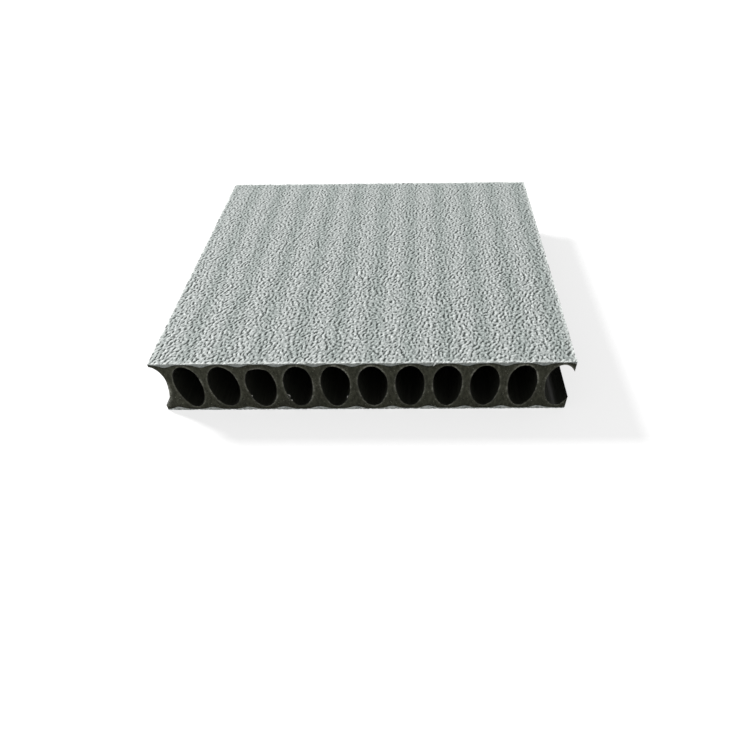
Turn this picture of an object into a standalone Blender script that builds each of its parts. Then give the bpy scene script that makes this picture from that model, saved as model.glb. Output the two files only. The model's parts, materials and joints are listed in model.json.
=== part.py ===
# Sawn piece of hollow plastic formwork panel: a dark core with oval cells running
# through it, drawn together with two light grey skins in one extrusion.
# Metres, +Z up. X runs across the cells, Y along them, and the origin lies in the
# middle of the underside. The left side is -X.

import math

import bmesh
import bpy

MM = 0.001

# Section of the panel, as the die draws it
THICKNESS = 18.0 * MM
CELL_WIDTH = 8.4 * MM
NARROW_CELL_WIDTH = 7.4 * MM  # the full cell next to the left side
WIDEST_SHARE = 0.575  # a cell is widest at this share of its height, so its crown is fuller than its foot
WEB = 2.27 * MM  # wall between two cells, at its neck
TOP_WALL = 1.05 * MM  # crown of a cell to the top face
BOTTOM_WALL = 1.55 * MM  # foot of a cell to the underside
SKIN_OVER_CELL = 0.35 * MM
SKIN_OVER_WEB = 1.25 * MM
SKIN_CREST_POWER = 5.0  # a higher power gives the skin narrower crests over the webs
LAYER_GAP = 0.02 * MM  # kept between the faces of two bonded layers

# Piece sawn from the panel
LENGTH = 114.0 * MM
FULL_CELLS = 10
GROOVE_DEPTH = 3.7 * MM  # left saw cut to the far wall of the cell that it opens
OPENED_CELL_DEPTH = 7.85 * MM  # near wall of the last cell to the right saw cut
LEFT_CUT_LEAN = 1.1 * MM  # each long cut runs this far inwards from top to underside
RIGHT_CUT_LEAN = 0.9 * MM

# Facets
CELL_SEGMENTS = 40
STEPS_PER_CELL = 12
SHARP_ANGLE = math.radians(35)
CUT_OVERRUN = 2.0 * MM  # cutters pass the faces that they cut by this much

# Sizes that follow
CELL_HEIGHT = THICKNESS - TOP_WALL - BOTTOM_WALL
CELL_WIDEST = BOTTOM_WALL + WIDEST_SHARE * CELL_HEIGHT
FULL_CELL_WIDTHS = [NARROW_CELL_WIDTH] + [CELL_WIDTH] * (FULL_CELLS - 1)
CELL_WIDTHS = [CELL_WIDTH] + FULL_CELL_WIDTHS + [CELL_WIDTH]
PANEL_WIDTH = GROOVE_DEPTH + sum(FULL_CELL_WIDTHS) + (FULL_CELLS + 1) * WEB + OPENED_CELL_DEPTH
LEFT_SIDE = -PANEL_WIDTH / 2
RIGHT_SIDE = PANEL_WIDTH / 2


def remove_scene_objects():
    for item in list(bpy.data.objects):
        bpy.data.objects.remove(item, do_unlink=True)


def plastic(name, color, roughness):
    material = bpy.data.materials.new(name)
    material.use_nodes = True
    shader = material.node_tree.nodes["Principled BSDF"]
    shader.inputs["Base Color"].default_value = (*color, 1.0)
    shader.inputs["Roughness"].default_value = roughness
    shader.inputs["Metallic"].default_value = 0.0
    return material


def cell_centres():
    # From the cell that the left cut opens to the one that the right cut opens
    centres = []
    near_wall = LEFT_SIDE + GROOVE_DEPTH - CELL_WIDTH
    for width in CELL_WIDTHS:
        centres.append(near_wall + width / 2)
        near_wall += width + WEB
    return centres


def skin_depths():
    # (x, depth) along the face between a skin and the core: thin over each cell, with a
    # bell-shaped crest over each web. It starts and ends one cell outside the saw cuts.
    pitch = CELL_WIDTH + WEB
    centres = cell_centres()
    centres = [centres[0] - pitch] + centres + [centres[-1] + pitch]
    crest = SKIN_OVER_WEB - SKIN_OVER_CELL
    depths = [(centres[0], SKIN_OVER_CELL)]
    for start, end in zip(centres, centres[1:]):
        for step in range(1, STEPS_PER_CELL + 1):
            share = step / STEPS_PER_CELL
            bell = max(math.sin(math.pi * share), 0.0) ** SKIN_CREST_POWER
            depths.append((start + (end - start) * share, SKIN_OVER_CELL + crest * bell))
    return depths


def draw_along_cells(solid, outline, overrun=0.0):
    # Outline in X and Z, drawn along Y from the front face to the back face
    reach = LENGTH / 2 + overrun
    corners = [solid.verts.new((x, -reach, z)) for x, z in outline]
    front = solid.faces.new(corners)
    drawn = bmesh.ops.extrude_face_region(solid, geom=[front])
    moved = [item for item in drawn["geom"] if isinstance(item, bmesh.types.BMVert)]
    bmesh.ops.translate(solid, verts=moved, vec=(0.0, 2 * reach, 0.0))


def solid_object(name, solid):
    bmesh.ops.recalc_face_normals(solid, faces=solid.faces)
    for face in solid.faces:
        face.smooth = abs(face.normal.y) < 0.5
    mesh = bpy.data.meshes.new(name)
    solid.to_mesh(mesh)
    solid.free()
    mesh.set_sharp_from_angle(angle=SHARP_ANGLE)
    body = bpy.data.objects.new(name, mesh)
    bpy.context.collection.objects.link(body)
    return body


def layer(name, outline, material):
    solid = bmesh.new()
    draw_along_cells(solid, outline)
    body = solid_object(name, solid)
    body.data.materials.append(material)
    return body


def cutter(name, solid):
    body = solid_object(name, solid)
    body.hide_render = True
    body.display_type = "WIRE"
    return body


def cell_outline(centre, width):
    # Two half ellipses that meet at the widest line, a low one for the crown and a tall one for the foot
    crown_height = THICKNESS - TOP_WALL - CELL_WIDEST
    foot_height = CELL_WIDEST - BOTTOM_WALL
    outline = []
    for segment in range(CELL_SEGMENTS):
        turn = 2 * math.pi * segment / CELL_SEGMENTS
        height = crown_height if segment < CELL_SEGMENTS / 2 else foot_height
        outline.append((centre + width / 2 * math.cos(turn), CELL_WIDEST + height * math.sin(turn)))
    return outline


def cell_mandrels():
    # One mandrel for each cell, as in the die
    solid = bmesh.new()
    for centre, width in zip(cell_centres(), CELL_WIDTHS):
        draw_along_cells(solid, cell_outline(centre, width), CUT_OVERRUN)
    return cutter("cell_mandrels", solid)


def left_cut_x(height):
    return LEFT_SIDE + LEFT_CUT_LEAN * (1.0 - height / THICKNESS)


def right_cut_x(height):
    return RIGHT_SIDE - RIGHT_CUT_LEAN * (1.0 - height / THICKNESS)


def offcut(name, cut_x, outside):
    # What a long cut takes off: from its slanting line to past the end of the blank
    below = -CUT_OVERRUN
    above = THICKNESS + CUT_OVERRUN
    outline = [(outside, below), (cut_x(below), below), (cut_x(above), above), (outside, above)]
    solid = bmesh.new()
    draw_along_cells(solid, outline, CUT_OVERRUN)
    return cutter(name, solid)


def subtract(body, cutters):
    for tool in cutters:
        cut = body.modifiers.new(tool.name, "BOOLEAN")
        cut.operation = "DIFFERENCE"
        cut.solver = "EXACT"
        cut.object = tool


def build_panel():
    skin_plastic = plastic("light grey polypropylene skin", (0.40, 0.43, 0.42), 0.5)
    core_plastic = plastic("dark olive polypropylene core", (0.030, 0.032, 0.023), 0.65)

    depths = skin_depths()
    first_x = depths[0][0]
    last_x = depths[-1][0]
    offcuts = [
        offcut("left_offcut", left_cut_x, first_x - CUT_OVERRUN),
        offcut("right_offcut", right_cut_x, last_x + CUT_OVERRUN),
    ]

    core_foot = [(x, depth + LAYER_GAP) for x, depth in depths]
    core_crown = [(x, THICKNESS - depth - LAYER_GAP) for x, depth in reversed(depths)]
    core = layer("core_profile", core_foot + core_crown, core_plastic)
    subtract(core, [cell_mandrels()] + offcuts)

    skin_crests = [(x, THICKNESS - depth) for x, depth in depths]
    top_skin = layer("top_skin", skin_crests + [(last_x, THICKNESS), (first_x, THICKNESS)], skin_plastic)
    subtract(top_skin, offcuts)

    skin_ridges = [(x, depth) for x, depth in reversed(depths)]
    bottom_skin = layer("bottom_skin", skin_ridges + [(first_x, 0.0), (last_x, 0.0)], skin_plastic)
    subtract(bottom_skin, offcuts)


remove_scene_objects()
build_panel()
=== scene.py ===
import json
import math

import bmesh
import bpy
import numpy as np
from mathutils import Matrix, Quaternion, Vector


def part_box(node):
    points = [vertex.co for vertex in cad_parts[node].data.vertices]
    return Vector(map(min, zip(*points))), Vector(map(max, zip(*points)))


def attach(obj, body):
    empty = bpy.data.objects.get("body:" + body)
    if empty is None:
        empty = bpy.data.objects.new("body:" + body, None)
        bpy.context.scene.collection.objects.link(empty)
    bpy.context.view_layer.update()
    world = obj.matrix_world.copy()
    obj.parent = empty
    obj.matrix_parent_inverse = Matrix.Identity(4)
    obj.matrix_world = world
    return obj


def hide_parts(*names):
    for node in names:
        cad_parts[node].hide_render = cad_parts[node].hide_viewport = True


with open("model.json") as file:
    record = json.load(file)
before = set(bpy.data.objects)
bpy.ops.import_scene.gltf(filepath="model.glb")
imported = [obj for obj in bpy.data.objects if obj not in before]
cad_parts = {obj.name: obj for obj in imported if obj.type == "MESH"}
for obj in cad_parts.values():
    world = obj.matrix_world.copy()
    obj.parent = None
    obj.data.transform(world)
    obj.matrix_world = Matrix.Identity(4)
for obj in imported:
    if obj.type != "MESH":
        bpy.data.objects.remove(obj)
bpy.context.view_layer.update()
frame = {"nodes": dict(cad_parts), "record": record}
mm = 0.001

# The piece lies flat: x across the cells, y along them, front saw cut at low y


def addNode(nodes, kind, settings, inputs):
    node = nodes.new(kind)
    for name, value in settings.items():
        setattr(node, name, value)
    for socket, value in inputs.items():
        if isinstance(value, bpy.types.NodeSocket):
            nodes.id_data.links.new(value, node.inputs[socket])
        else:
            node.inputs[socket].default_value = value
    return node


def linearColor(hexColor):
    channels = [int(hexColor[i:i + 2], 16) / 255 for i in (1, 3, 5)]
    linear = [c / 12.92 if c <= 0.04045 else ((c + 0.055) / 1.055) ** 2.4 for c in channels]
    return (*linear, 1.0)


def perSize(sizeInMm):
    return 1.0 / (sizeInMm * mm)  # texture scale that gives a pattern of this real size


def newMaterial(name):
    material = bpy.data.materials.new(name)
    material.use_nodes = True
    material.node_tree.nodes.clear()
    return material, material.node_tree.nodes


# What the frame says of the section

sectionReading = {
    "onFace": 0.01 * mm,  # points this near the front cut lie on it
    "onMiddle": 0.02 * mm,  # the same for the middle line of a cell
    "clearOfEnds": 2 * mm,  # a cell is widest further than this from its foot and crown
}


def readSection():
    corePoints = np.array([v.co for v in frame["nodes"]["core_profile"].data.vertices])
    low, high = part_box("core_profile")
    onFront = corePoints[corePoints[:, 1] < low.y + sectionReading["onFace"]]
    boxes = [opening["box_m"] for opening in frame["record"]["physics"]["openings"]]
    centres = sorted({round((box[0][0] + box[1][0]) / 2, 5) for box in boxes if box[1][0] < high.x})
    pitch = centres[3] - centres[2]
    clear = sectionReading["clearOfEnds"]
    fullCells = []
    for centre in centres[:-1]:  # the last one is the cell that the right cut opens
        reach = np.abs(onFront[:, 0] - centre)
        levels = sorted(set(np.round(onFront[reach < sectionReading["onMiddle"], 2], 6)))
        foot, crown = levels[1], levels[-2]
        onWall = (reach < pitch / 2) & (onFront[:, 2] > foot + clear) & (onFront[:, 2] < crown - clear)
        fullCells.append((centre, 2 * reach[onWall].max()))
        widest = onFront[onWall][reach[onWall].argmax(), 2]
    web = fullCells[2][0] - fullCells[1][0] - fullCells[1][1]
    width = fullCells[1][1]
    firstWall = fullCells[0][0] - fullCells[0][1] / 2
    lastWall = fullCells[-1][0] + fullCells[-1][1] / 2
    groove = (firstWall - web - width / 2, width)
    opened = (lastWall + web + width / 2, width)
    return {
        "cells": [groove] + fullCells + [opened],
        "web": web,
        "foot": foot,
        "crown": crown,
        "widest": widest,
        "front": low.y,
        "back": high.y,
        "left": low.x,
        "right": high.x,
        "thickness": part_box("top_skin")[1].z,
        "leftLean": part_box("bottom_skin")[0].x - low.x,
        "rightLean": high.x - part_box("bottom_skin")[1].x,
    }


section = readSection()
print("section read:", len(section["cells"]), "cells, widest at", round(section["widest"] / mm, 2), "mm")


def leftCut(z):
    return section["left"] + section["leftLean"] * (1.0 - z / section["thickness"])


def rightCut(z):
    return section["right"] - section["rightLean"] * (1.0 - z / section["thickness"])


# Noise fields

lineKnots = 4096
planeKnots = 512


def bandNoise(rows, columns, step, wave, spread, angle, stretch, comb, seed):
    # Random field with waves of about one length. Its ridges run along the angle: stretch draws them out,
    # and comb keeps the ones that run across it low.
    white = np.random.default_rng(seed).standard_normal((rows, columns))
    across = np.fft.fftfreq(columns, step)[None, :]
    along = np.fft.fftfreq(rows, step)[:, None]
    turn = math.radians(angle)
    u = across * math.cos(turn) + along * math.sin(turn)
    v = -across * math.sin(turn) + along * math.cos(turn)
    waves = np.sqrt((u * stretch) ** 2 + v * v) * wave
    band = np.exp(-0.5 * ((waves - 1.0) / spread) ** 2)
    band = band * np.exp(-comb * u * u / (u * u + v * v + 1e-9))  # 1e-9 keeps the mean from dividing by zero
    field = np.fft.ifft2(np.fft.fft2(white) * band).real
    return field / field.std()


def lineNoise(places, wave, seed):
    # Smooth random value along a line, about one in size
    knots = np.random.default_rng(seed).uniform(-1.0, 1.0, lineKnots)
    where = np.asarray(places) / wave + lineKnots / 2
    low = np.floor(where).astype(int)
    share = where - low
    share = share * share * (3 - 2 * share)
    return knots[low % lineKnots] * (1 - share) + knots[(low + 1) % lineKnots] * share


def planeNoise(a, b, wave, seed):
    # Smooth random value over a plane
    knots = np.random.default_rng(seed).uniform(-1.0, 1.0, (planeKnots, planeKnots))
    a = np.asarray(a) / wave + planeKnots / 2
    b = np.asarray(b) / wave + planeKnots / 2
    i, j = np.floor(a).astype(int), np.floor(b).astype(int)
    s, t = a - i, b - j
    s, t = s * s * (3 - 2 * s), t * t * (3 - 2 * t)
    i, j = i % (planeKnots - 1), j % (planeKnots - 1)
    low = knots[i, j] * (1 - s) + knots[i + 1, j] * s
    high = knots[i, j + 1] * (1 - s) + knots[i + 1, j + 1] * s
    return low * (1 - t) + high * t


# Scalloped line between skin and core, the same for both

skinLine = {
    "overCell": 0.35 * mm,
    "overWeb": 1.25 * mm,
    "crestPower": 5.0,
    "wander": 0.10 * mm,  # crests differ from each other by about this much
    "wanderWave": 9.0 * mm,
}
topSeed, bottomSeed = 21, 22  # the crests of the two skins wander in their own ways


def cellPhase(x):
    # 0 at the centre of a cell, 1 at the centre of the next
    centres = [cell[0] for cell in section["cells"]]
    pitch = centres[3] - centres[2]
    centres = [centres[0] - pitch] + centres + [centres[-1] + pitch]
    return np.interp(x, centres, np.arange(len(centres))) % 1.0


def skinDepth(x, seed):
    bell = np.sin(np.pi * cellPhase(x)) ** skinLine["crestPower"]
    crest = skinLine["overWeb"] - skinLine["overCell"]
    crest = crest + skinLine["wander"] * lineNoise(x, skinLine["wanderWave"], seed)
    return skinLine["overCell"] + crest * bell


# Saw cuts across the cells, the same for skins and core

sawCut = {
    "chatterDepth": 0.035 * mm,
    "chatterWave": 1.1 * mm,
    "chatterLean": 0.3,  # the blade's marks lean by this much sideways per rise
    "chatterStretch": 0.35,  # and are drawn out upwards
    "tornDepth": 0.05 * mm,
    "tornWave": 2.6 * mm,
    "frontSeed": 31,
    "backSeed": 41,
}


def sawRelief(x, z, side):
    # How far a sawn face stands out or in: chatter of the blade and torn plastic. Side -1 is the front.
    seed = sawCut["frontSeed"] if side < 0 else sawCut["backSeed"]
    leaning = x + sawCut["chatterLean"] * z
    chatter = planeNoise(leaning, z * sawCut["chatterStretch"], sawCut["chatterWave"], seed)
    torn = planeNoise(x, z, sawCut["tornWave"], seed + 1)
    return sawCut["chatterDepth"] * chatter + sawCut["tornDepth"] * torn


# Meshes from patches of points

meshJoining = {
    "mergeWithin": 0.0005 * mm,
    "sharpDegrees": 48,
}


class PatchMesh:
    def __init__(self):
        self.points, self.faces, self.marks, self.count = [], [], {}, 0

    def add(self, grid, closed=False, **marks):
        # grid[i, j] is a point; closed joins the last column to the first
        rows, columns = grid.shape[:2]
        index = np.arange(rows * columns).reshape(rows, columns) + self.count
        if closed:
            index = np.hstack([index, index[:, :1]])
        quads = np.stack([index[:-1, :-1], index[:-1, 1:], index[1:, 1:], index[1:, :-1]], -1)
        self.faces.append(quads.reshape(-1, 4))
        self.points.append(grid.reshape(-1, 3))
        for name, values in marks.items():
            values = np.broadcast_to(values, (rows, columns)).reshape(-1)
            self.marks.setdefault(name, []).append((self.count, values))
        self.count += rows * columns

    def build(self, name, polygons=()):
        mesh = bpy.data.meshes.new(name)
        faces = np.vstack(self.faces).tolist() + [list(p) for p in polygons]
        mesh.from_pydata(np.vstack(self.points).tolist(), [], faces)
        for mark, parts in self.marks.items():
            values = np.zeros(self.count, np.float32)
            for start, part in parts:
                values[start:start + len(part)] = part
            mesh.attributes.new(mark, "FLOAT", "POINT").data.foreach_set("value", values)
        body = bpy.data.objects.new(name, mesh)
        bpy.context.scene.collection.objects.link(body)
        solid = bmesh.new()
        solid.from_mesh(mesh)
        bmesh.ops.remove_doubles(solid, verts=solid.verts, dist=meshJoining["mergeWithin"])
        bmesh.ops.recalc_face_normals(solid, faces=solid.faces)
        solid.to_mesh(mesh)
        solid.free()
        for polygon in mesh.polygons:
            polygon.use_smooth = True
        mesh.set_sharp_from_angle(angle=math.radians(meshJoining["sharpDegrees"]))
        return body


# Shreds of plastic that the saw left

curlShape = {
    "rings": 9,
    "sides": 8,
    "flatness": 0.6,
}


def curl(start, end, bulge, wide):
    # A closed shred of plastic between two points, bowed out by the bulge and pointed at both ends
    start, end, bulge = Vector(start), Vector(end), Vector(bulge)
    run = (end - start).normalized()
    side = run.cross(bulge.normalized()).normalized()
    lift = side.cross(run) * curlShape["flatness"]
    turns = np.linspace(0, 2 * np.pi, curlShape["sides"] + 1)[:-1]
    rings = []
    for rise in np.linspace(-1, 1, curlShape["rings"]):
        middle = start.lerp(end, 0.5 + 0.5 * rise) + bulge * (1 - rise * rise)
        girth = wide * math.sqrt(1 - rise * rise)
        rings.append([middle + girth * (math.cos(t) * side + math.sin(t) * lift) for t in turns])
    return np.array(rings)


# Skins: embossed polypropylene

skinShape = {
    "step": 0.385 * mm,  # spacing of the embossed grid
    "grainWave": 1.22 * mm,  # from one ridge of the leather grain to the next
    "grainSpread": 0.45,
    "grainAngles": (74, 100),  # degrees from the x axis that the ridges take, patch by patch
    "grainStretch": 1.2,
    "grainComb": 1.1,  # ridges keep to the drawing direction
    "patchWave": 22 * mm,
    "patchSpread": 0.5,
    "patchContrast": 2.5,
    "fineWave": 0.85 * mm,
    "fineAngle": 85,
    "fineShare": 0.4,
    "grainDepth": 0.24 * mm,
    "pitShare": 0.28,  # of the surface, below the plateau
    "grainRange": 5,  # standard deviations from the deepest pit to the highest ridge
    "flatten": 12,  # how hard the roller flattens the ridges
    "sink": 0.05 * mm,  # the skin sinks a little over each cell
    "sinkPower": 1.4,
    "fade": 0.36,  # the grain is this much weaker at the back edge, where the roller pressed less
    "fadeTo": 0.6,
    "raggedEdge": 0.09 * mm,
    "raggedMean": 0.4,
    "raggedVaries": 0.6,
    "raggedEndWave": 0.9 * mm,
    "raggedSideWave": 1.0 * mm,
    "burr": 0.13 * mm,
    "burrMean": 0.5,
    "burrVaries": 0.8,
    "burrWave": 1.3 * mm,
    "burrReach": 0.35 * mm,
    "whitenedEdge": 0.7 * mm,  # how far in from a saw cut the plastic turns white
    "sawnLevels": (0.0, 0.12, 0.5, 1.0),  # rows of a sawn end, from the embossed face to the core
    "sawnOut": 0.03 * mm,
    "sawnGrain": 0.56,  # a sawn end is as grey as the plateau
    "sawnOverCell": 0.6,
    "sawnWhitened": (1.0, 0.6),  # its two outer rows; each skin's look gives the two inner ones
    "lap": 0.01 * mm,  # the skin reaches this far past the scalloped line
}
topSkinLook = {"seed": 11, "paleEndAndBounce": 0.2}
bottomSkinLook = {"seed": 61, "paleEndAndBounce": 1.2}  # its sawn ends are paler: painted light for the floor's bounce on top of their whitening

# A curl of the top skin that hangs over the front edge
frontCurl = {
    "place": 20.4 * mm,
    "long": 1.7 * mm,
    "wide": 0.2 * mm,
    "slant": 0.3,  # of its length, to either side
    "drop": 0.65,  # of its length, down from the face
    "bow": (0, -0.15, 0.1),  # of its length
    "rootBehind": 0.2 * mm,
    "tipBefore": 0.25 * mm,
    "grain": 0.9,
}


def leatherGrain(rows, columns, seed):
    # Runs evenly from 0 in the deepest pit over 0.5 at its brim to 1 on the highest ridge
    step, wave, spread = skinShape["step"], skinShape["grainWave"], skinShape["grainSpread"]
    stretch, comb = skinShape["grainStretch"], skinShape["grainComb"]
    lean, upright = skinShape["grainAngles"]
    leaning = bandNoise(rows, columns, step, wave, spread, lean, stretch, comb, seed)
    standing = bandNoise(rows, columns, step, wave, spread, upright, stretch, comb, seed + 1)
    patchWave, patchSpread = skinShape["patchWave"], skinShape["patchSpread"]
    patch = bandNoise(rows, columns, step, patchWave, patchSpread, 0, 1, 0, seed + 2)
    fineWave, fineAngle = skinShape["fineWave"], skinShape["fineAngle"]
    fine = bandNoise(rows, columns, step, fineWave, spread, fineAngle, stretch, comb, seed + 3)
    share = 1 / (1 + np.exp(-skinShape["patchContrast"] * patch))
    field = leaning * np.sqrt(share) + standing * np.sqrt(1 - share) + skinShape["fineShare"] * fine
    field = field / field.std()
    level = np.quantile(field, skinShape["pitShare"])
    return np.clip(0.5 + (field - level) / skinShape["grainRange"], 0, 1)


def embossedFace(outerZ, inward, left, right, seed):
    # Points of the outer face, and what the material has to know of each
    front, back, step = section["front"], section["back"], skinShape["step"]
    columns = int(round((right - left) / step)) + 1
    rows = int(round((back - front) / step)) + 1
    x = np.linspace(left, right, columns)[None, :].repeat(rows, 0)
    y = np.linspace(front, back, rows)[:, None].repeat(columns, 1)
    grain = leatherGrain(rows, columns, seed)
    grain = grain + (skinShape["fadeTo"] - grain) * skinShape["fade"] * ((y - front) / (back - front)) ** 2
    overCell = np.cos(np.pi * cellPhase(x[0])) ** 2
    overCell = (overCell ** skinShape["sinkPower"])[None, :].repeat(rows, 0)
    flattened = 1 / (1 + np.exp(-skinShape["flatten"] * (grain - 0.5)))
    depth = skinShape["grainDepth"] * (1 - flattened) + skinShape["sink"] * overCell
    fromEnd = np.minimum(y - front, back - y)
    fromCut = np.minimum.reduce([fromEnd, x - left, right - x])
    uneven = skinShape["burrVaries"] * planeNoise(x, y, skinShape["burrWave"], seed + 5)
    uneven = np.clip(skinShape["burrMean"] + uneven, 0, 1)
    depth = depth - skinShape["burr"] * uneven * np.exp(-(fromEnd / skinShape["burrReach"]) ** 2)
    z = np.maximum(outerZ + inward * depth, 0.0)  # the burr of the lower skin is pressed flat on the table

    # Ragged edges: the outermost points wander in the plane of the face
    wander, endWave, sideWave = (skinShape[key] for key in ("raggedEdge", "raggedEndWave", "raggedSideWave"))
    mean, varies = skinShape["raggedMean"], skinShape["raggedVaries"]
    y[0] -= wander * (mean + varies * lineNoise(x[0], endWave, seed + 6))
    y[-1] += wander * (mean + varies * lineNoise(x[-1], endWave, seed + 7))
    x[:, 0] += wander * lineNoise(y[:, 0], sideWave, seed + 8)
    x[:, -1] += wander * lineNoise(y[:, -1], sideWave, seed + 9)
    whitened = np.exp(-(fromCut / skinShape["whitenedEdge"]) ** 2)
    return np.stack([x, y, z], -1), {"grain": grain, "overCell": overCell, "whitened": whitened}


def sawnEnd(edge, innerZ, side):
    # From the edge of the embossed face down to the scalloped line
    shares = np.array(skinShape["sawnLevels"])[:, None]
    z = edge[None, :, 2] * (1 - shares) + innerZ[None, :] * shares
    x = edge[None, :, 0].repeat(len(shares), 0)
    face = section["front"] if side < 0 else section["back"]
    y = face + side * (sawRelief(x, z, side) + skinShape["sawnOut"])
    y[0] = edge[:, 1]
    return np.stack([x, y, z], -1)


def addFrontCurl(skin, outerZ):
    place, long, front = frontCurl["place"], frontCurl["long"], section["front"]
    slant, drop = frontCurl["slant"] * long, frontCurl["drop"] * long
    start = (place + slant, front + frontCurl["rootBehind"], outerZ)
    end = (place - slant, front - frontCurl["tipBefore"], outerZ - drop)
    bow = [share * long for share in frontCurl["bow"]]
    skin.add(curl(start, end, bow, frontCurl["wide"]), True, grain=frontCurl["grain"], whitened=1.0)


def buildSkin(name, outerZ, inward, left, right, look, lineSeed):
    skin = PatchMesh()
    face, marks = embossedFace(outerZ, inward, left, right, look["seed"])
    skin.add(face, **marks)
    rows, columns = face.shape[:2]
    levels = len(skinShape["sawnLevels"])
    # The inner rows of the bottom skin's sawn ends carry painted light for the floor's bounce on top of
    # their whitening
    pale = np.array([*skinShape["sawnWhitened"], look["paleEndAndBounce"], look["paleEndAndBounce"]])[:, None]
    innerZ = outerZ + inward * (skinDepth(face[0, :, 0], lineSeed) + skinShape["lap"])
    for edge, side in ((face[0], -1), (face[-1], 1)):
        strip = sawnEnd(edge, innerZ, side)
        skin.add(strip, grain=skinShape["sawnGrain"], overCell=skinShape["sawnOverCell"], whitened=pale)
    if inward < 0:
        addFrontCurl(skin, outerZ)

    # Hidden face against the core, and the two long sides as single faces
    frontStrip = rows * columns
    backStrip = frontStrip + levels * columns
    frontFoot = np.arange(columns) + frontStrip + (levels - 1) * columns
    backFoot = np.arange(columns) + backStrip + (levels - 1) * columns
    hidden = [(frontFoot[i], frontFoot[i + 1], backFoot[i + 1], backFoot[i]) for i in range(columns - 1)]
    sides = []
    for column in (0, columns - 1):
        edge = [row * columns + column for row in range(rows)]
        atFront = [frontStrip + level * columns + column for level in range(levels)]
        atBack = [backStrip + level * columns + column for level in range(levels)]
        sides.append(edge + atBack[1:] + atFront[:0:-1])
    return skin.build(name, hidden + sides)


# Core: dark recycled polypropylene

coreShape = {
    "sidePoints": 22,  # points up each web
    "crownPoints": 14,  # and across each crown
    "rings": [0.0, 0.08, 0.17, 0.28, 0.45, 0.72, 1.0],  # from the rim of a cell out to the web's middle
    "stations": 30,  # along a cell
    "lap": 0.03 * mm,  # the core reaches this far past the scalloped line
    "outOfRound": 0.14 * mm,
    "outOfRoundWaves": (2, 3, 4, 5, 7),  # how often each goes up and down round the cell
    "dieLine": 0.03 * mm,
    "dieLineWave": 0.45 * mm,
    "dieLineRadius": 5 * mm,  # makes a length of an angle round the cell
    # Sideways per rise, cell by cell from the left
    "lean": (0, -0.05, -0.03, -0.03, 0, 0, 0, 0.01, 0.01, 0.01, 0.02, 0.03),
    "swollen": {1: 0.3 * mm, 2: 0.15 * mm, 3: 0.1 * mm},  # cells wider all round than the die draws them
    "flatCrown": {3: 0.9 * mm},  # cells whose crown has sagged by this much
    "flatFrom": 0.9 * mm,  # the sag begins this far below the crown
    "flatBlend": 0.3 * mm,
    "drift": 0.06 * mm,  # a wall wanders by this much along the cell
    "driftWave": 14 * mm,
    "driftSpan": 114 * mm,
    "driftStretch": 0.4,
    "driftRise": 0.5,
    "rimBurr": 0.16 * mm,
    "rimReach": 0.25 * mm,
    "rimRadius": 6 * mm,  # makes a length of an angle round the rim
    "burrMean": 0.4,
    "burrVaries": 0.9,
    "burrWave": 2.2 * mm,
    "paleWave": 5 * mm,
    "paleByBurr": (0.2, 0.8),  # paleness without a burr, and what a full burr adds
    "paleByPatch": (0.6, 0.7),  # the same for the patches along a rim
    "rimWide": 0.42 * mm,
    "palest": 1.6,
    "grooveHighlight": 1.1,  # a painted highlight, added on top of the burr's paleness on the lower half of the groove
    "grooveWider": 0.35,
    "grooveBlend": 1.2 * mm,  # from the lower half to the upper
    # width of the painted shade along the joints with the skins
    "seamShadeWide": 0.45 * mm,
    "swarf": ((4, 214, 2.0), (4, 229, 0.9), (5, 322, 1.3), (3, 213, 0.7)),  # cell, degrees round its rim, mm
    "swarfWide": 0.15 * mm,
    "swarfBow": 0.25,
    "swarfReach": 0.05 * mm,  # its ends lie this far behind and before the cut
    "swarfRim": 2.5,  # a mark above that of any burr, which the material shows as a shred
    "lipCorner": 0.3 * mm,  # height at which a lip's corner is taken
    "clearOfCut": 0.05 * mm,
    "webMiddle": 0.001 * mm,  # a step of the outline narrower than this runs up a web's middle
}

# Random draws of the core; all but the drift add the number of the cell
coreSeeds = {
    "round": 100,
    "dieLines": 150,
    "frontRim": 200,
    "backRim": 300,
    "palePatches": 50,  # on top of a rim's own
    "drift": 77,
}
fullTurn = 6.28  # in radians, near enough for a random phase


def cellWall(number, angle):
    # Points of a cell's wall: two half ellipses, each cell a little out of round in its own way
    centre, width = section["cells"][number]
    widest = section["widest"]
    rng = np.random.default_rng(coreSeeds["round"] + number)
    bumps = sum(
        rng.uniform(-1, 1) * np.cos(waves * angle + rng.uniform(0, fullTurn)) / waves
        for waves in coreShape["outOfRoundWaves"]
    )
    along = angle * coreShape["dieLineRadius"]
    lines = lineNoise(along, coreShape["dieLineWave"], coreSeeds["dieLines"] + number)
    swell = coreShape["outOfRound"] * bumps - coreShape["dieLine"] * np.abs(lines)
    height = np.where(np.sin(angle) > 0, section["crown"] - widest, widest - section["foot"])
    across = width / 2 + swell + coreShape["swollen"].get(number, 0.0)
    z = widest + (height + swell) * np.sin(angle)
    sag = coreShape["flatCrown"].get(number, 0.0)
    z = z - sag / (1 + np.exp((section["crown"] - coreShape["flatFrom"] - z) / coreShape["flatBlend"]))
    return centre + across * np.cos(angle) + coreShape["lean"][number] * (z - widest), z


def coreFoot(x):
    return skinDepth(x, bottomSeed) - coreShape["lap"]


def coreTop(x):
    return section["thickness"] - skinDepth(x, topSeed) + coreShape["lap"]


def bayOutline(low, high):
    # Round a cell: up the right web, back over the crown, down the left web and along the foot
    side = np.linspace(0, 1, coreShape["sidePoints"] + 1)[:-1]
    crown = np.linspace(0, 1, coreShape["crownPoints"] + 1)[:-1]
    topX = high + (low - high) * crown
    footX = low + (high - low) * crown
    x = np.concatenate([np.full(len(side), high), topX, np.full(len(side), low), footX])
    z = np.concatenate([
        coreFoot(high) + (coreTop(high) - coreFoot(high)) * side,
        coreTop(topX),
        coreTop(low) + (coreFoot(low) - coreTop(low)) * side,
        coreFoot(footX),
    ])
    return x, z


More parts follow.
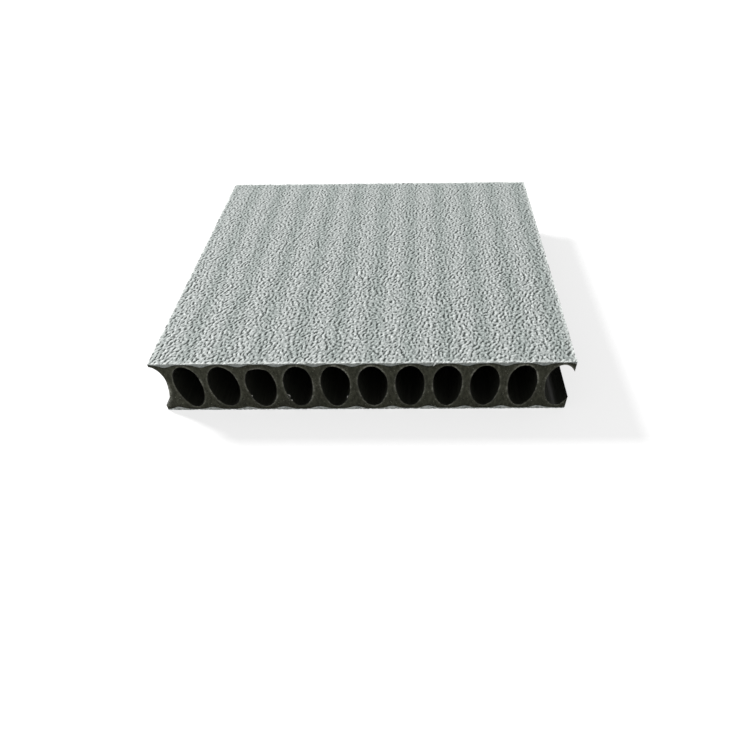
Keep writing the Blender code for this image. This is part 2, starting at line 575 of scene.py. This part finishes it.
def endFace(inner, outer, side, extraHighlight, seed):
    # Sawn face of one bay, from the rim of its cell out to its outline
    rings = np.array(coreShape["rings"])[:, None]
    x = inner[0][None, :] * (1 - rings) + outer[0][None, :] * rings
    z = inner[1][None, :] * (1 - rings) + outer[1][None, :] * rings
    alongRim = np.arctan2(inner[1] - inner[1].mean(), inner[0] - inner[0].mean()) * coreShape["rimRadius"]
    burr = coreShape["burrVaries"] * lineNoise(alongRim, coreShape["burrWave"], seed)
    burr = np.clip(coreShape["burrMean"] + burr, 0, 1)
    gap = np.hypot(x - inner[0][None, :], z - inner[1][None, :])
    lift = coreShape["rimBurr"] * burr[None, :] * np.exp(-(gap / coreShape["rimReach"]) ** 2)
    face = section["front"] if side < 0 else section["back"]
    y = face + side * (sawRelief(x, z, side) + lift)

    # How much paler the torn rim is, with a painted highlight on the lower half of the groove, and the
    # painted shade along the joints with the skins
    patchy = 0.5 + 0.5 * lineNoise(alongRim, coreShape["paleWave"], seed + coreSeeds["palePatches"])
    lowerHalf = 1 / (1 + np.exp((inner[1] - section["thickness"] / 2) / coreShape["grooveBlend"]))
    byBurr, byPatch = coreShape["paleByBurr"], coreShape["paleByPatch"]
    paleness = (byBurr[0] + byBurr[1] * burr) * (byPatch[0] + byPatch[1] * patchy) + extraHighlight * lowerHalf
    wide = coreShape["rimWide"] * (1 + coreShape["grooveWider"] * extraHighlight * lowerHalf)
    rim = np.exp(-(gap / wide[None, :]) ** 2) * paleness[None, :]
    rim = np.minimum(rim, coreShape["palest"])
    toSkin = np.minimum(z - skinDepth(x, bottomSeed), section["thickness"] - skinDepth(x, topSeed) - z)
    seamShade = np.exp(-(np.maximum(toSkin, 0) / coreShape["seamShadeWide"]) ** 2) * (1 - rim)
    return np.stack([x, y, z], -1), {"rim": rim, "seamShade": seamShade}


def stationShares():
    # Places along a cell, closer together near the two saw cuts
    return 0.5 - 0.5 * np.cos(np.pi * np.linspace(0, 1, coreShape["stations"]))


def wallGrid(frontRing, backRing, x, z):
    rows, stretch = [], coreShape["driftStretch"]
    for share in stationShares():
        y = frontRing[:, 1] * (1 - share) + backRing[:, 1] * share
        place = z * stretch + share * coreShape["driftSpan"]
        drift = coreShape["drift"] * math.sin(math.pi * share)
        drift = drift * planeNoise(x * stretch, place, coreShape["driftWave"], coreSeeds["drift"])
        rows.append(np.stack([x + drift, y, z + drift * coreShape["driftRise"]], -1))
    return np.array(rows)


def openBay(inner, outer, cut, keep):
    # Cuts a bay's two loops at a saw cut and starts both at the cut. Keep is 1 where what is right of it
    # stays, and -1 where what is left of it stays.
    x, z = inner
    inside = keep * (x - cut(z)) > 0
    start = int(np.argmax(inside & ~np.roll(inside, 1)))
    order = np.roll(np.arange(len(x)), -start)[:int(inside.sum())]
    before, after = order[0] - 1, (order[-1] + 1) % len(x)

    def crossing(a, b):
        share = (cut(z[a]) - x[a]) / ((x[b] - x[a]) - (cut(z[b]) - cut(z[a])))
        return x[a] + (x[b] - x[a]) * share, z[a] + (z[b] - z[a]) * share

    first, last = crossing(before, order[0]), crossing(order[-1], after)
    innerX = np.concatenate([[first[0]], x[order], [last[0]]])
    innerZ = np.concatenate([[first[1]], z[order], [last[1]]])

    # Outer loop: a corner at each lip, and points past the cut drawn back between their neighbours
    firstIsLow = first[1] < section["thickness"] / 2
    corners = []
    for isLow in (firstIsLow, not firstIsLow):
        cornerZ = coreShape["lipCorner"] if isLow else section["thickness"] - coreShape["lipCorner"]
        cornerX = float(cut(cornerZ))
        corners.append((cornerX, float(coreFoot(cornerX) if isLow else coreTop(cornerX))))
    outX, outZ = outer[0][order], outer[1][order]
    outX = np.where(keep * (outX - cut(outZ)) > coreShape["clearOfCut"], outX, np.nan)
    outX = np.concatenate([[corners[0][0]], outX, [corners[1][0]]])
    outZ = np.concatenate([[corners[0][1]], outZ, [corners[1][1]]])
    places = np.arange(len(outX))
    good = ~np.isnan(outX)
    outX = np.interp(places, places[good], outX[good])
    for i in places[~good]:
        isLow = firstIsLow if i < len(places) / 2 else not firstIsLow
        outZ[i] = coreFoot(outX[i]) if isLow else coreTop(outX[i])
    return (innerX, innerZ), (outX, outZ)


def addLip(core, frontEdge, backEdge, wallEdge):
    # Sawn long face of a lip: from the cell's wall out to the skin
    share = (wallEdge[:, 1] - frontEdge[0, 1]) / (backEdge[0, 1] - frontEdge[0, 1])
    rows = []
    for k, s in enumerate(share):
        row = frontEdge * (1 - s) + backEdge * s
        row[0] = wallEdge[k]
        rows.append(row)
    core.add(np.array(rows), sawn=1.0)


def addBond(core, frontRing, backRing, closed):
    # Scalloped face that is bonded to the skins; it closes the core and is never seen
    shares = stationShares()[:, None, None]
    count = len(frontRing)
    for i in range(count if closed else count - 1):
        ends = [i, (i + 1) % count]
        if abs(frontRing[ends[0], 0] - frontRing[ends[1], 0]) < coreShape["webMiddle"]:
            continue  # two bays meet there
        core.add(frontRing[None, ends] * (1 - shares) + backRing[None, ends] * shares, sawn=1.0)


def addSwarf(core):
    # Shreds of plastic on the rims, curled into the openings
    front, reach = section["front"], coreShape["swarfReach"]
    for number, degrees, length in coreShape["swarf"]:
        half = math.degrees(0.5 * length * mm / section["widest"])
        x, z = cellWall(number, np.radians([degrees - half, degrees + half]))
        run = Vector((x[1] - x[0], 0, z[1] - z[0])).normalized()
        bow = Vector((-run.z, 0, run.x)) * coreShape["swarfBow"] * length * mm
        start, end = (x[0], front - reach, z[0]), (x[1], front + reach, z[1])
        core.add(curl(start, end, bow, coreShape["swarfWide"]), True, sawn=1.0, rim=coreShape["swarfRim"])


def buildCore():
    core = PatchMesh()
    cells = section["cells"]
    height = section["crown"] - section["foot"]
    for number, (centre, width) in enumerate(cells):
        low = centre - width / 2 - section["web"] / 2
        high = centre + width / 2 + section["web"] / 2
        outer = bayOutline(low, high)
        angle = np.arctan2((outer[1] - section["widest"]) / height, (outer[0] - centre) / width)
        inner = cellWall(number, angle)
        isGroove, isOpened = number == 0, number == len(cells) - 1
        closed = not isGroove and not isOpened
        if isGroove:
            inner, outer = openBay(inner, outer, leftCut, 1)
        if isOpened:
            inner, outer = openBay(inner, outer, rightCut, -1)
        # Painted highlight on the lower half of the groove's rim
        extraHighlight = coreShape["grooveHighlight"] if isGroove else 0.0
        frontFace, frontMarks = endFace(inner, outer, -1, extraHighlight, coreSeeds["frontRim"] + number)
        backFace, backMarks = endFace(inner, outer, 1, extraHighlight, coreSeeds["backRim"] + number)
        core.add(frontFace, closed, sawn=1.0, **frontMarks)
        core.add(backFace, closed, sawn=1.0, **backMarks)
        wall = wallGrid(frontFace[0], backFace[0], *inner)
        core.add(wall, closed, sawn=0.0)
        addBond(core, frontFace[-1], backFace[-1], closed)
        if not closed:
            for end in (0, -1):
                addLip(core, frontFace[:, end], backFace[:, end], wall[:, end])
    addSwarf(core)
    return core.build("sawnCore")


# Materials

def embossedPolypropylene():
    # Co-extruded polypropylene, embossed by a roller: satin ridges paled by a painted highlight round small
    # pits darkened by painted shade, paler over the webs than over the cells, turned white where the saw
    # stressed it, and on the bottom skin's sawn ends paler still with painted light for the floor's bounce
    look = {
        "plateau": "#adb2b0",
        # The ridge colour is a painted highlight and the pit colour painted shade
        "ridge": "#eff3f1",
        "pit": "#4c514f",
        "overCell": "#dce1df",  # darkens the sunken stripes
        # the white of stressed plastic, also painted on the bottom skin's sawn ends as light from the
        # floor's bounce
        "whitened": "#e6eae7",
        "speckDark": "#d2d5d4",
        "roughRidge": 0.54,
        "roughPit": 0.66,
        "gloss": 0.2,
        "lightBending": 1.49,
        "brimFrom": 0.37,  # grain at the foot of a pit's brim, at its top and on a full ridge
        "brimTo": 0.56,
        "ridgeTo": 0.9,
        "cloudMm": 6.0,
        "cloudEdges": (0.3, 0.7),
        "cloudLeast": 0.5,  # of the stripe, where the cloud is thinnest
        "speckMm": 0.6,
        "speckEdges": (0.38, 0.62),
        "fleckMm": 1.1,
        "fleckEdges": (0.4, 0.6),
        "fleckLeast": 0.2,
        "pitMm": 0.12,
        "pitBump": 0.8,
        "speckBumpMm": 0.04,
        "speckBump": 0.7,
    }
    material, nodes = newMaterial("embossed polypropylene skin")
    where = addNode(nodes, "ShaderNodeTexCoord", {}, {}).outputs["Object"]
    grain = addNode(nodes, "ShaderNodeAttribute", {"attribute_name": "grain"}, {}).outputs["Fac"]
    overCell = addNode(nodes, "ShaderNodeAttribute", {"attribute_name": "overCell"}, {}).outputs["Fac"]
    whitened = addNode(nodes, "ShaderNodeAttribute", {"attribute_name": "whitened"}, {}).outputs["Fac"]

    # Grain: pits sharpened at their brims and darkened by painted shade, ridges paled by a painted highlight
    brim = addNode(nodes, "ShaderNodeMapRange", {"interpolation_type": "SMOOTHSTEP"}, {
        "Value": grain, "From Min": look["brimFrom"], "From Max": look["brimTo"]})
    crest = addNode(nodes, "ShaderNodeMapRange", {}, {
        "Value": grain, "From Min": look["brimTo"], "From Max": look["ridgeTo"]})
    ridgeHighlighted = addNode(nodes, "ShaderNodeMix", {"data_type": "RGBA"}, {
        0: crest.outputs["Result"], 6: linearColor(look["plateau"]), 7: linearColor(look["ridge"])})
    embossed = addNode(nodes, "ShaderNodeMix", {"data_type": "RGBA"}, {
        0: brim.outputs["Result"], 6: linearColor(look["pit"]), 7: ridgeHighlighted.outputs[2]})

    # Stripes over the cells, clouded, and fine specks
    cloud = addNode(nodes, "ShaderNodeTexNoise", {}, {
        "Vector": where, "Scale": perSize(look["cloudMm"]), "Detail": 3.0, "Roughness": 0.6})
    streak = addNode(nodes, "ShaderNodeMapRange", {}, {
        "Value": cloud.outputs["Fac"], "To Min": look["cloudLeast"], "To Max": 1.0,
        "From Min": look["cloudEdges"][0], "From Max": look["cloudEdges"][1]})
    stripe = addNode(nodes, "ShaderNodeMath", {"operation": "MULTIPLY"}, {
        0: overCell, 1: streak.outputs["Result"]})
    striped = addNode(nodes, "ShaderNodeMix", {"data_type": "RGBA", "blend_type": "MULTIPLY"}, {
        0: stripe.outputs[0], 6: embossed.outputs[2], 7: linearColor(look["overCell"])})
    speck = addNode(nodes, "ShaderNodeTexNoise", {}, {
        "Vector": where, "Scale": perSize(look["speckMm"]), "Detail": 1.0, "Roughness": 0.5})
    speckShare = addNode(nodes, "ShaderNodeMapRange", {}, {
        "Value": speck.outputs["Fac"], "To Min": 1.0, "To Max": 0.0,
        "From Min": look["speckEdges"][0], "From Max": look["speckEdges"][1]})
    specked = addNode(nodes, "ShaderNodeMix", {"data_type": "RGBA", "blend_type": "MULTIPLY"}, {
        0: speckShare.outputs["Result"], 6: striped.outputs[2], 7: linearColor(look["speckDark"])})

    # Whitened edges, in flecks, and painted light for the floor's bounce on the bottom skin's sawn ends
    fleck = addNode(nodes, "ShaderNodeTexNoise", {}, {
        "Vector": where, "Scale": perSize(look["fleckMm"]), "Detail": 2.0, "Roughness": 0.6})
    white = addNode(nodes, "ShaderNodeMapRange", {}, {
        "Value": fleck.outputs["Fac"], "To Min": look["fleckLeast"], "To Max": 1.0,
        "From Min": look["fleckEdges"][0], "From Max": look["fleckEdges"][1]})
    whiteShare = addNode(nodes, "ShaderNodeMath", {"operation": "MULTIPLY"}, {
        0: whitened, 1: white.outputs["Result"]})
    color = addNode(nodes, "ShaderNodeMix", {"data_type": "RGBA"}, {
        0: whiteShare.outputs[0], 6: specked.outputs[2], 7: linearColor(look["whitened"])})

    pitted = addNode(nodes, "ShaderNodeBump", {}, {
        "Strength": look["pitBump"], "Distance": look["pitMm"] * mm, "Height": brim.outputs["Result"]})
    bump = addNode(nodes, "ShaderNodeBump", {}, {
        "Strength": look["speckBump"], "Distance": look["speckBumpMm"] * mm, "Height": speck.outputs["Fac"],
        "Normal": pitted.outputs["Normal"]})
    rough = addNode(nodes, "ShaderNodeMapRange", {}, {
        "Value": brim.outputs["Result"], "To Min": look["roughPit"], "To Max": look["roughRidge"]})
    shader = addNode(nodes, "ShaderNodeBsdfPrincipled", {}, {
        "Base Color": color.outputs[2], "Roughness": rough.outputs["Result"],
        "Normal": bump.outputs["Normal"],
        "IOR": look["lightBending"], "Specular IOR Level": look["gloss"]})
    addNode(nodes, "ShaderNodeOutputMaterial", {}, {"Surface": shader.outputs["BSDF"]})
    return material


def recycledPolypropylene():
    # Recycled polypropylene core: near black with an olive cast, drawn smooth in the cells, torn where sawn
    look = {
        "sawn": "#35362c",
        "streak": "#545548",
        "chip": "#8d8e82",
        # painted shade along the joints with the skins
        "seamShade": "#14150f",
        "burr": "#c4c5b8",
        "shred": "#f3f3ec",
        "cell": "#1d1e19",
        "dieMark": "#2b2c26",
        "streakMm": 0.8,
        "streakLean": 12,  # degrees
        "streakStretch": 0.45,
        "streakEdges": (0.4, 0.68),
        "chipMm": 0.5,
        "chipEdges": (0.66, 0.74),
        "flakeMm": 0.8,
        "flakeEdges": (0.35, 0.65),
        "flakePaleness": (0.1, 0.8),
        "shredEdges": (2.0, 2.5),  # rim marks from which a shred shows, and shows fully
        "dieMarkMm": 0.45,
        "dieMarkStretch": 0.012,
        "dieMarkEdges": (0.45, 0.75),
        "bumpMm": 0.08,
        "bump": 0.8,
        "lightBending": 1.49,
        "roughSawn": 0.8,
        "roughCell": 0.45,
        "glossSawn": 0.15,
        "glossCell": 0.35,
    }
    material, nodes = newMaterial("recycled polypropylene core")
    where = addNode(nodes, "ShaderNodeTexCoord", {}, {}).outputs["Object"]
    rim = addNode(nodes, "ShaderNodeAttribute", {"attribute_name": "rim"}, {}).outputs["Fac"]
    sawn = addNode(nodes, "ShaderNodeAttribute", {"attribute_name": "sawn"}, {}).outputs["Fac"]
    seamShade = addNode(nodes, "ShaderNodeAttribute", {"attribute_name": "seamShade"}, {}).outputs["Fac"]

    # Sawn faces: mottled, darkened by painted shade along the joints with the skins, paler on the torn rims
    torn = addNode(nodes, "ShaderNodeMapping", {}, {
        "Vector": where, "Rotation": (0.0, math.radians(look["streakLean"]), 0.0),
        "Scale": (1.0, 1.0, look["streakStretch"])})
    scratch = addNode(nodes, "ShaderNodeTexNoise", {}, {
        "Vector": torn.outputs["Vector"], "Scale": perSize(look["streakMm"]),
        "Detail": 4.0, "Roughness": 0.65})
    streakShare = addNode(nodes, "ShaderNodeMapRange", {}, {
        "Value": scratch.outputs["Fac"],
        "From Min": look["streakEdges"][0], "From Max": look["streakEdges"][1]})
    streaked = addNode(nodes, "ShaderNodeMix", {"data_type": "RGBA"}, {
        0: streakShare.outputs["Result"], 6: linearColor(look["sawn"]), 7: linearColor(look["streak"])})
    chip = addNode(nodes, "ShaderNodeTexNoise", {}, {
        "Vector": where, "Scale": perSize(look["chipMm"]), "Detail": 1.0, "Roughness": 0.5})
    chipShare = addNode(nodes, "ShaderNodeMapRange", {}, {
        "Value": chip.outputs["Fac"],
        "From Min": look["chipEdges"][0], "From Max": look["chipEdges"][1]})
    chipped = addNode(nodes, "ShaderNodeMix", {"data_type": "RGBA"}, {
        0: chipShare.outputs["Result"], 6: streaked.outputs[2], 7: linearColor(look["chip"])})
    seamShaded = addNode(nodes, "ShaderNodeMix", {"data_type": "RGBA"}, {
        0: seamShade, 6: chipped.outputs[2], 7: linearColor(look["seamShade"])})
    flake = addNode(nodes, "ShaderNodeTexNoise", {}, {
        "Vector": where, "Scale": perSize(look["flakeMm"]), "Detail": 2.0, "Roughness": 0.6})
    burrShare = addNode(nodes, "ShaderNodeMapRange", {}, {
        "Value": flake.outputs["Fac"],
        "From Min": look["flakeEdges"][0], "From Max": look["flakeEdges"][1],
        "To Min": look["flakePaleness"][0], "To Max": look["flakePaleness"][1]})
    burr = addNode(nodes, "ShaderNodeMath", {"operation": "MULTIPLY"}, {
        0: rim, 1: burrShare.outputs["Result"]})
    edged = addNode(nodes, "ShaderNodeMix", {"data_type": "RGBA"}, {
        0: burr.outputs[0], 6: seamShaded.outputs[2], 7: linearColor(look["burr"])})
    shredShare = addNode(nodes, "ShaderNodeMapRange", {}, {
        "Value": rim, "From Min": look["shredEdges"][0], "From Max": look["shredEdges"][1]})
    cut = addNode(nodes, "ShaderNodeMix", {"data_type": "RGBA"}, {
        0: shredShare.outputs["Result"], 6: edged.outputs[2], 7: linearColor(look["shred"])})

    # Cell walls: long marks of the die
    drawn = addNode(nodes, "ShaderNodeMapping", {}, {
        "Vector": where, "Scale": (1.0, look["dieMarkStretch"], 1.0)})
    dieMark = addNode(nodes, "ShaderNodeTexNoise", {}, {
        "Vector": drawn.outputs["Vector"], "Scale": perSize(look["dieMarkMm"]),
        "Detail": 3.0, "Roughness": 0.6})
    dieShare = addNode(nodes, "ShaderNodeMapRange", {}, {
        "Value": dieMark.outputs["Fac"],
        "From Min": look["dieMarkEdges"][0], "From Max": look["dieMarkEdges"][1]})
    wall = addNode(nodes, "ShaderNodeMix", {"data_type": "RGBA"}, {
        0: dieShare.outputs["Result"], 6: linearColor(look["cell"]), 7: linearColor(look["dieMark"])})

    color = addNode(nodes, "ShaderNodeMix", {"data_type": "RGBA"}, {
        0: sawn, 6: wall.outputs[2], 7: cut.outputs[2]})
    rough = addNode(nodes, "ShaderNodeMapRange", {}, {
        "Value": sawn, "To Min": look["roughCell"], "To Max": look["roughSawn"]})
    gloss = addNode(nodes, "ShaderNodeMapRange", {}, {
        "Value": sawn, "To Min": look["glossCell"], "To Max": look["glossSawn"]})
    relief = addNode(nodes, "ShaderNodeMix", {}, {
        0: sawn, 2: dieMark.outputs["Fac"], 3: scratch.outputs["Fac"]})
    bump = addNode(nodes, "ShaderNodeBump", {}, {
        "Strength": look["bump"], "Distance": look["bumpMm"] * mm, "Height": relief.outputs[0]})
    shader = addNode(nodes, "ShaderNodeBsdfPrincipled", {}, {
        "Base Color": color.outputs[2], "Roughness": rough.outputs["Result"],
        "Normal": bump.outputs["Normal"],
        "IOR": look["lightBending"], "Specular IOR Level": gloss.outputs["Result"]})
    addNode(nodes, "ShaderNodeOutputMaterial", {}, {"Surface": shader.outputs["BSDF"]})
    return material


# Pieces

def addPieces():
    skinPlastic = embossedPolypropylene()
    corePlastic = recycledPolypropylene()
    thickness, left, right = section["thickness"], section["left"], section["right"]
    topSkin = buildSkin("embossedTopSkin", thickness, -1, left, right, topSkinLook, topSeed)
    print("top skin:", len(topSkin.data.polygons), "faces")
    left, right = leftCut(0.0), rightCut(0.0)
    bottomSkin = buildSkin("embossedBottomSkin", 0.0, 1, left, right, bottomSkinLook, bottomSeed)
    print("bottom skin:", len(bottomSkin.data.polygons), "faces")
    core = buildCore()
    print("core:", len(core.data.polygons), "faces")
    dressed = (
        (topSkin, "top_skin", "skin_plastic", skinPlastic),
        (bottomSkin, "bottom_skin", "skin_plastic", skinPlastic),
        (core, "core_profile", "core_plastic", corePlastic),
    )
    for piece, node, slot, material in dressed:
        piece.data.materials.append(material)
        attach(piece, "root")
        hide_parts(node)


# Floor, light and camera

studio = {
    "floorRadius": 6.0,
    "floorSides": 96,
    "floorBounce": "#b0b0ae",
    "paperGrey": 0.5,
    "paperGlow": 0.7,
    "glowStart": 0.3,
    "glowRadius": 1.2,  # from here on the paper shows plain white
    "skyGrey": 0.32,
    "keyWatts": 96.0,
    "keySize": 0.64,
    "keyPlace": (-1.84, 1.22, 1.49),
    "fillWatts": 0.5,
    "fillSize": 0.6,
    "fillPlace": (0.35, -0.55, 0.50),
}


def seenRay(nodes):
    # 1 for rays that show the background: from the camera, off gloss and through glass
    ray = addNode(nodes, "ShaderNodeLightPath", {}, {})
    direct = addNode(nodes, "ShaderNodeMath", {"operation": "MAXIMUM"}, {
        0: ray.outputs["Is Camera Ray"], 1: ray.outputs["Is Glossy Ray"]})
    seen = addNode(nodes, "ShaderNodeMath", {"operation": "MAXIMUM"}, {
        0: direct.outputs[0], 1: ray.outputs["Is Transmission Ray"]})
    return seen.outputs[0]


def addFloor():
    # Matt white paper: shadows lie soft on it, and far out it shows no edge against the sky
    sides, radius = studio["floorSides"], studio["floorRadius"]
    bpy.ops.mesh.primitive_circle_add(vertices=sides, radius=radius, fill_type="NGON")
    floor = bpy.context.object
    floor.name = "studioFloor"
    material, nodes = newMaterial("white paper sweep")
    bounce = addNode(nodes, "ShaderNodeBsdfDiffuse", {}, {"Color": linearColor(studio["floorBounce"])})
    where = addNode(nodes, "ShaderNodeTexCoord", {}, {})
    away = addNode(nodes, "ShaderNodeVectorMath", {"operation": "LENGTH"}, {0: where.outputs["Object"]})
    glowShare = addNode(nodes, "ShaderNodeMapRange", {"interpolation_type": "SMOOTHSTEP"}, {
        "Value": away.outputs["Value"], "From Min": studio["glowStart"], "From Max": studio["glowRadius"],
        "To Min": studio["paperGlow"], "To Max": 1.0})
    grey = studio["paperGrey"]
    paper = addNode(nodes, "ShaderNodeBsdfDiffuse", {}, {"Color": (grey, grey, grey, 1.0)})
    glow = addNode(nodes, "ShaderNodeEmission", {}, {
        "Color": (1.0, 1.0, 1.0, 1.0), "Strength": glowShare.outputs["Result"]})
    bright = addNode(nodes, "ShaderNodeAddShader", {}, {0: paper.outputs[0], 1: glow.outputs[0]})
    mixed = addNode(nodes, "ShaderNodeMixShader", {}, {
        0: seenRay(nodes), 1: bounce.outputs[0], 2: bright.outputs[0]})
    addNode(nodes, "ShaderNodeOutputMaterial", {}, {"Surface": mixed.outputs[0]})
    floor.data.materials.append(material)


def addSky():
    world = bpy.data.worlds.new("studio")
    bpy.context.scene.world = world
    world.use_nodes = True
    nodes = world.node_tree.nodes
    nodes.clear()
    strength = addNode(nodes, "ShaderNodeMapRange", {}, {
        "Value": seenRay(nodes), "To Min": studio["skyGrey"], "To Max": 1.0})
    sky = addNode(nodes, "ShaderNodeBackground", {}, {
        "Color": (1.0, 1.0, 1.0, 1.0), "Strength": strength.outputs["Result"]})
    addNode(nodes, "ShaderNodeOutputWorld", {}, {"Surface": sky.outputs[0]})


def addLamp(name, watts, size, place):
    lamp = bpy.data.lights.new(name, "AREA")
    lamp.energy = watts
    lamp.shape = "DISK"
    lamp.size = size
    holder = bpy.data.objects.new(name, lamp)
    bpy.context.scene.collection.objects.link(holder)
    holder.location = place
    holder.rotation_mode = "QUATERNION"
    holder.rotation_quaternion = (-Vector(place)).to_track_quat("-Z", "Y")


photoView = {
    "frameSide": 750,
    "focalPixels": 610.8,
    "axisPixel": (410, 385),  # where the lens axis meets the photograph
    "place": (16.01 * mm, -185.18 * mm, 128.11 * mm),
    "heading": (-0.01475, 0.73421, -0.67876),
    "rollDegrees": -1.09,
    "sensorWidth": 36.0,
    "clipStart": 0.01,
    "clipEnd": 20.0,
}


def addCamera():
    side = photoView["frameSide"]
    lens = bpy.data.cameras.new("photoCamera")
    lens.sensor_width = photoView["sensorWidth"]
    lens.lens = photoView["focalPixels"] * lens.sensor_width / side
    lens.shift_x = (side / 2 - photoView["axisPixel"][0]) / side
    lens.shift_y = (photoView["axisPixel"][1] - side / 2) / side
    lens.clip_start = photoView["clipStart"]
    lens.clip_end = photoView["clipEnd"]
    camera = bpy.data.objects.new("photoCamera", lens)
    bpy.context.scene.collection.objects.link(camera)
    camera.location = photoView["place"]
    camera.rotation_mode = "QUATERNION"
    aim = Vector(photoView["heading"]).to_track_quat("-Z", "Y")
    camera.rotation_quaternion = aim @ Quaternion((0, 0, 1), math.radians(photoView["rollDegrees"]))
    bpy.context.scene.camera = camera


addPieces()
addFloor()
addSky()
addLamp("keyLamp", studio["keyWatts"], studio["keySize"], studio["keyPlace"])
addLamp("fillLamp", studio["fillWatts"], studio["fillSize"], studio["fillPlace"])
addCamera()
bpy.context.scene.view_settings.view_transform = "Standard"
print("studio set")
